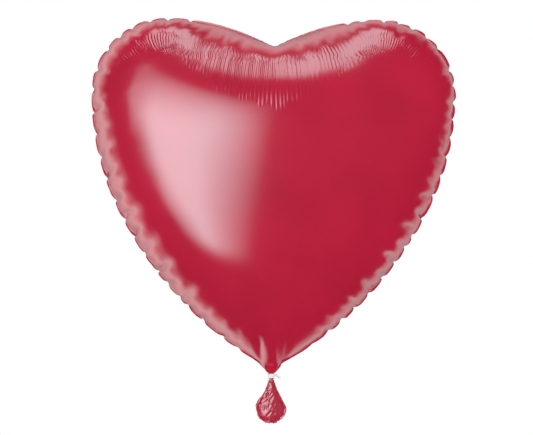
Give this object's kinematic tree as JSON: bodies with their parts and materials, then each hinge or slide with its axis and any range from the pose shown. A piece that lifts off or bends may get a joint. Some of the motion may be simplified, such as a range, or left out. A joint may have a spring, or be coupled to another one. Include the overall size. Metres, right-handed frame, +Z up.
{
  "type": "foil balloon",
  "caption": "Inflated heart-shaped balloon of red metallised film with a heat-sealed seam, gathered neck tied with a white ribbon and a small puffed tail below.",
  "frame": {"origin": "centre of the ribbon tie, on the axis of the gathered neck", "axes": "+Z up from the tie through the heart, +X across the two lobes, -Y is the front"},
  "size_m": [0.38, 0.206, 0.423],
  "materials": {
    "red_foil": "metallised film with a red lacquer, satin mirror gloss",
    "valve_film": "thin clear polyethylene film",
    "ribbon": "white satin ribbon"
  },
  "bodies": {
    "heart": {"front_panel": "red_foil", "back_panel": "red_foil", "valve_film_front": "valve_film", "valve_film_back": "valve_film", "neck_gather": "red_foil", "tie_ribbon": "ribbon"},
    "neck": {"neck_stub": "red_foil"},
    "throat": {"tail_throat": "red_foil"},
    "tail": {"tail_front": "red_foil", "tail_back": "red_foil"}
  },
  "joints": [
    {"name": "tail_twist", "type": "hinge", "parent": "heart", "child": "neck", "pos_m": [0, 0, -0.0028], "axis": [0, 0, 1], "range_deg": [-120, 120]},
    {"name": "tail_swing", "type": "hinge", "parent": "neck", "child": "throat", "pos_m": [0, 0, -0.0063], "axis": [1, 0, 0], "range_deg": [-65, 65]},
    {"name": "tail_sway", "type": "hinge", "parent": "throat", "child": "tail", "pos_m": [0, 0, -0.0063], "axis": [0, 1, 0], "range_deg": [-50, 50]}
  ]
}
